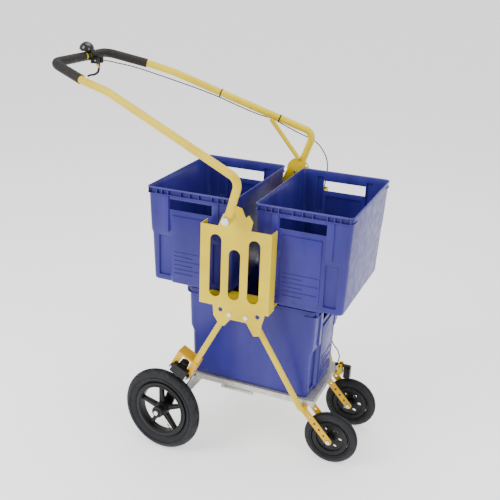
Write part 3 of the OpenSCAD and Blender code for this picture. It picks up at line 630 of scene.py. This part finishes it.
# %% The thin shell
shell = block((2 * TOP.x, 2 * TOP.y, CRATE.z), (0, 0, CRATE.z / 2))
pick(shell, "VERT", lambda at: at.z < 0.001)
bpy.ops.transform.resize(value=(BASE.x / TOP.x, BASE.y / TOP.y, 1), center_override=(0, 0, 0))
done()
pick(shell, "FACE", lambda centre, normal: normal.z > 0.9)
bpy.ops.mesh.delete(type="FACE")
done()
pick(shell, "EDGE", lambda centre, run: abs(run.z) > 0.3)
bpy.ops.mesh.bevel(offset=0.020, segments=4, affect="EDGES")
done()
pick(shell, "EDGE", lambda centre, run: centre.z < 0.001)
bpy.ops.mesh.bevel(offset=0.010, segments=3, affect="EDGES")
done()
for z in (PANEL_LOW, *LEDGE, PANEL_HIGH, HOLD_LOW, HOLD_HIGH, RIM_LOW):
    cut(shell, (0, 0, z), (0, 0, 1))
for x in (PANEL_HALF, HOLD_HALF, *POST, CHANNEL):
    cut(shell, (x, 0, 0), (1, 0, 0))
    cut(shell, (-x, 0, 0), (1, 0, 0))
print("shell cut into", len(shell.data.polygons), "faces")

# %% Ledge, posts, channels and panel
pick(shell, "VERT", lambda at: abs(at.y) > 0.24 and at.z < LEDGE[0] + 0.001
     and abs(at.x) > PANEL_HALF + 0.001)
bpy.ops.transform.resize(value=(1, 0.962, 1), center_override=(0, 0, 0))
done()


def push(piece, test, depth):
    """Push the end faces that pass the test outwards by a depth, or inwards if it is negative."""
    for sign in (-1, 1):
        pick(piece, "FACE", lambda centre, normal: normal.y * sign > 0.7 and test(centre))
        bpy.ops.mesh.extrude_region_move(TRANSFORM_OT_translate={"value": (0, sign * depth, 0)})
        done()


push(shell, lambda at: POST[0] < abs(at.x) < POST[1] and LEDGE[1] < at.z < RIM_LOW, 0.007)
push(shell, lambda at: POST[0] < abs(at.x) < CHANNEL and PANEL_LOW < at.z < LEDGE[0], -0.009)
push(shell, lambda at: abs(at.x) < PANEL_HALF and PANEL_LOW < at.z < PANEL_HIGH, 0.006)
pick(shell, "FACE", lambda centre, normal: abs(normal.y) > 0.7 and abs(centre.x) < HOLD_HALF
     and HOLD_LOW < centre.z < HOLD_HIGH)
bpy.ops.mesh.delete(type="FACE")
done()
modify(shell, "SOLIDIFY", thickness=WALL, offset=-1)
ease(shell, 0.0012, 2, 35)

# %% The rim's flanges
def rounded_block(size, centre, radius):
    """A box whose upright edges are rounded."""
    piece = block(size, centre)
    pick(piece, "EDGE", lambda at, run: abs(run.z) > size[2] * 0.9 and abs(run.x) + abs(run.y) < 1e-4)
    bpy.ops.mesh.bevel(offset=radius, segments=6, affect="EDGES")
    done()
    return piece


def flange(z_low, z_high, reach):
    """A flat flange round both ends of the crate, running reach along its sides."""
    centre, thick = (0, 0, (z_low + z_high) / 2), z_high - z_low
    plate = rounded_block((CRATE.x - 0.001, CRATE.y - 0.001, thick), centre, 0.026)
    for size, radius in (((2 * TOP.x - 0.002, 2 * TOP.y - 0.002, 0.1), 0.020),
                         ((1, CRATE.y - 2 * reach, 0.1), 0.001)):
        hole = rounded_block(size, centre, radius)
        modify(plate, "BOOLEAN", operation="DIFFERENCE", object=hole, solver="EXACT")
        bpy.data.objects.remove(hole)
    return plate


crate_parts = [shell, flange(CRATE.z - 0.0045, CRATE.z - 0.0005, 0.045),
               flange(CRATE.z - 0.0265, CRATE.z - 0.0235, 0.060)]
for sign in (-1, 1):
    for x in (-0.186, -0.150, -0.126, -0.0975, -0.040, 0.0, 0.040, 0.0975, 0.126, 0.150, 0.186):
        crate_parts.append(block((0.003, 0.011, 0.022),
                                 (x, sign * (CRATE.y / 2 - 0.0065), CRATE.z - 0.0145)))
print("rim parts", len(crate_parts))

# %% Grip lines and side beads
for sign in (-1, 1):
    for i in range(6):
        length = 0.150 if i % 2 else 0.085
        z = 0.052 + 0.019 * i
        line_bar = block((length, 0.004, 0.0045), (-0.073 + length / 2, sign * (end_y(z) + 0.006), z))
        ease(line_bar, 0.0012)
        crate_parts.append(line_bar)
    bead = block((0.005, CRATE.y - 0.09, 0.007), (sign * (TOP.x - 0.0005), 0, CRATE.z - 0.0035))
    ease(bead, 0.0015)
    crate_parts.append(bead)
crate = joined(crate_parts)

# %% Three crates
CRATES = {"rear": ("upper_crate_rear", "rear_crate", 0),
          "front": ("upper_crate_front", "front_crate", 0),
          "bottom": ("lower_crate", "bottom_crate", math.pi / 2)}
for name, (part, body, turn) in CRATES.items():
    low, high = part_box(part)
    place = Matrix.Translation(((low.x + high.x) / 2, (low.y + high.y) / 2, low.z))
    finish_piece(moved(copied(crate), place @ Matrix.Rotation(turn, 4, "Z")),
                 "crate_moulding_" + name, BLUE, body, [part], smooth=30)
bpy.data.objects.remove(crate)

# %% [markdown]
# ## Big rear wheels
#
# Each big wheel is a black nylon rim with five deep spokes and a treaded tyre. A wheel is
# modelled lying flat at the origin with its outer face up, and copies are turned onto the
# axles that the CAD gives.

# %% Turning a wheel onto its axle
def on_axle(piece, joint, outward):
    """Turn a piece that was modelled flat onto a wheel's axle."""
    axis = outward * Vector(JOINTS[joint]["axis"]).normalized()
    turn = Vector((0, 0, 1)).rotation_difference(axis).to_matrix().to_4x4()
    return moved(piece, Matrix.Translation(Vector(JOINTS[joint]["pos_m"])) @ turn)


def hollow(piece, thickness):
    """Open a drum into a ring with walls of that thickness."""
    pick(piece, "FACE", lambda centre, normal: abs(normal.z) > 0.9)
    bpy.ops.mesh.inset(thickness=thickness)
    bpy.ops.mesh.delete(type="FACE")
    done()
    inner = max(v.co.xy.length for v in piece.data.vertices) - thickness + 0.001
    pick(piece, "VERT", lambda at: at.xy.length < inner)
    bpy.ops.mesh.select_mode(type="EDGE")
    bpy.ops.mesh.bridge_edge_loops()
    done()
    return piece


# %% Spoked rim
BIG_R, BIG_W = 0.184, 0.053
RIM_R = 0.1255
felloe = hollow(drum(RIM_R, 0.041, (0, 0, 0), 96), 0.022)
ease(felloe, 0.004, 3)
step_ring = hollow(drum(RIM_R - 0.012, 0.046, (0, 0, 0), 96), 0.006)
ease(step_ring, 0.0015)
hub = drum(0.026, 0.078, (0, 0, 0.0075), 48)
pick(hub, "FACE", lambda centre, normal: normal.z > 0.9)
bpy.ops.mesh.inset(thickness=0.009)
bpy.ops.mesh.extrude_region_move(TRANSFORM_OT_translate={"value": (0, 0, -0.006)})
done()
ease(hub, 0.0015)
collar = drum(0.031, 0.034, (0, 0, 0), 48)
ease(collar, 0.003)
spokes = []
for i in range(5):
    spoke = block((0.090, 0.019, 0.026), (0.064, 0, 0))
    pick(spoke, "VERT", lambda at: at.x > 0.09)
    bpy.ops.transform.resize(value=(1, 0.78, 0.72), center_override=(0, 0, 0))
    done()
    pick(spoke, "FACE", lambda centre, normal: abs(normal.z) > 0.9)
    bpy.ops.mesh.inset(thickness=0.0042, use_individual=True)
    bpy.ops.transform.resize(value=(1, 1, 0.5), center_override=(0, 0, 0))
    done()
    ease(spoke, 0.0012, 2, 30)
    spokes.append(moved(spoke, Matrix.Rotation(math.radians(90 + 72 * i), 4, "Z")))
big_rim = joined([felloe, step_ring, hub, collar, *spokes])
print("spoked rim", len(big_rim.data.polygons), "faces")

# %% [markdown]
# The tyre is a ring whose tread is pressed in: some of its outer faces, chosen in a slanting
# pattern, are pushed a little inwards to make the grooves, and its inner part is drawn in to
# meet the rim.

# %% Treaded tyre
TREAD_STEPS, SECTION_STEPS = 144, 32
GROOVE_DEPTH = 0.003


def tyre(radius, width, seat, groove):
    """A tyre lying flat, with grooves where the groove test says."""
    bpy.ops.object.select_all(action="DESELECT")
    bpy.ops.mesh.primitive_torus_add(major_segments=TREAD_STEPS, minor_segments=SECTION_STEPS,
                                     major_radius=radius - width / 2, minor_radius=width / 2)
    ring = bpy.context.object
    middle = radius - width / 2

    def drawn(at):
        return at.xy.length < middle - width * 0.30

    pick(ring, "VERT", drawn)
    inside = middle - width / 2
    bpy.ops.transform.resize(value=(seat / inside, seat / inside, 0.8), center_override=(0, 0, 0))
    done()

    def grooved(centre, normal):
        around = math.degrees(math.atan2(centre.y, centre.x)) % 360
        round_step = math.floor(around / (360 / TREAD_STEPS))
        lean = math.degrees(math.atan2(centre.z, centre.xy.length - middle))
        return groove(round_step, lean)

    pick(ring, "FACE", grooved)
    bpy.ops.mesh.inset(thickness=0.0006)
    bpy.ops.mesh.extrude_region_move(TRANSFORM_OT_translate={"value": (0, 0, 0)})
    bpy.ops.transform.shrink_fatten(value=-GROOVE_DEPTH)
    done()
    return ring


def block_tread(step, lean):
    """Slanting grooves over the shoulders and two wavy ones round the crown."""
    if abs(lean) > 58:
        return 94 < abs(lean) < 108
    slant = (step + round(lean / (360 / SECTION_STEPS))) % 8
    return slant == 0 if abs(lean) > 17 else 6 < abs(lean) < 17 and step % 8 > 1


big_tyre = tyre(BIG_R, BIG_W, RIM_R - 0.003, block_tread)
print("tyre", len(big_tyre.data.polygons), "faces")

# %% Both big wheels
valve = drum(0.0032, 0.030, (0, 0, 0), 16)
pick(valve, "FACE", lambda centre, normal: normal.z > 0.9)
bpy.ops.mesh.inset(thickness=0.001)
bpy.ops.mesh.extrude_region_move(TRANSFORM_OT_translate={"value": (0, 0, 0.004)})
done()
ease(valve, 0.0005)
moved(valve, Matrix.Rotation(math.radians(-70), 4, "Z") @ Matrix.Translation((0.092, 0, 0.002))
      @ Matrix.Rotation(math.radians(-80), 4, "Y"))
for side, outward in (("right", -1), ("left", 1)):
    spin = "rear_spin_" + side
    for model, name, finish, slot, part in (
            (big_rim, "spoked_rim_", BLACK_PLASTIC, "black_plastic", "rear_rim_"),
            (big_tyre, "treaded_tyre_", RUBBER, "tyre_rubber", "rear_tyre_"),
            (valve, "brass_valve_", BRASS, "zinc_bolt", None)):
        finish_piece(on_axle(copied(model), spin, outward), name + side, finish,
                     "rear_wheel_" + side, [part + side] if part else ())
for model in (big_rim, big_tyre, valve):
    bpy.data.objects.remove(model)

# %% [markdown]
# ## Small front wheels
#
# The small tyres are smooth apart from two shallow lines round the tread. Their rims are
# solid discs with a few openings, which the CAD already has.

# %% Small tyres
SMALL_R, SMALL_W, SMALL_SEAT = 0.118, 0.045, 0.0785
small_tyre = tyre(SMALL_R, SMALL_W, SMALL_SEAT,
                  lambda step, lean: 20 < abs(lean) < 32 or 100 < abs(lean) < 110)
for side, outward in (("right", -1), ("left", 1)):
    finish_piece(on_axle(copied(small_tyre), "front_spin_" + side, outward), "smooth_tyre_" + side,
                 RUBBER, "front_wheel_" + side, ["front_tyre_" + side])
bpy.data.objects.remove(small_tyre)

# %% [markdown]
# ## Floor and light
#
# The cart stands on a plain pale floor. A bright even sky fills the shadows, and large soft
# lights from above and from the left give the plates and tubes their shape.

# %% Floor
bpy.ops.object.select_all(action="DESELECT")
bpy.ops.mesh.primitive_plane_add(size=120, location=(0, 0, 0))
floor = bpy.context.object
floor.name = "floor"
pale = Finish("pale_floor", Emission_Color=(1, 1, 1, 1), Emission_Strength=0.7)
pale.colour(pale.noise(0.6, 2), linear(252, 252, 252), linear(249, 249, 249))
pale.rough(pale.ranged(pale.noise(3, 2), 0.3, 0.7, 0.6, 0.7))
floor.data.materials.append(pale.material)

# %% Light
world = bpy.data.worlds.new("studio")
bpy.context.scene.world = world
world.use_nodes = True
world.node_tree.nodes["Background"].inputs["Color"].default_value = (1, 1, 1, 1)
world.node_tree.nodes["Background"].inputs["Strength"].default_value = 0.9


def softbox(name, at, power, size):
    """A large square light aimed at the cart's middle."""
    data = bpy.data.lights.new(name, "AREA")
    data.energy, data.size = power, size
    lamp = bpy.data.objects.new(name, data)
    bpy.context.collection.objects.link(lamp)
    lamp.location = at
    lamp.rotation_euler = (Vector((0, 0, 0.8)) - Vector(at)).to_track_quat("-Z", "Y").to_euler()


softbox("key_light", (-2.2, -3.4, 3.6), 170, 2.6)
softbox("fill_light", (3.6, -1.6, 2.4), 60, 2.4)
softbox("top_light", (0.2, 0.6, 4.2), 90, 3.0)
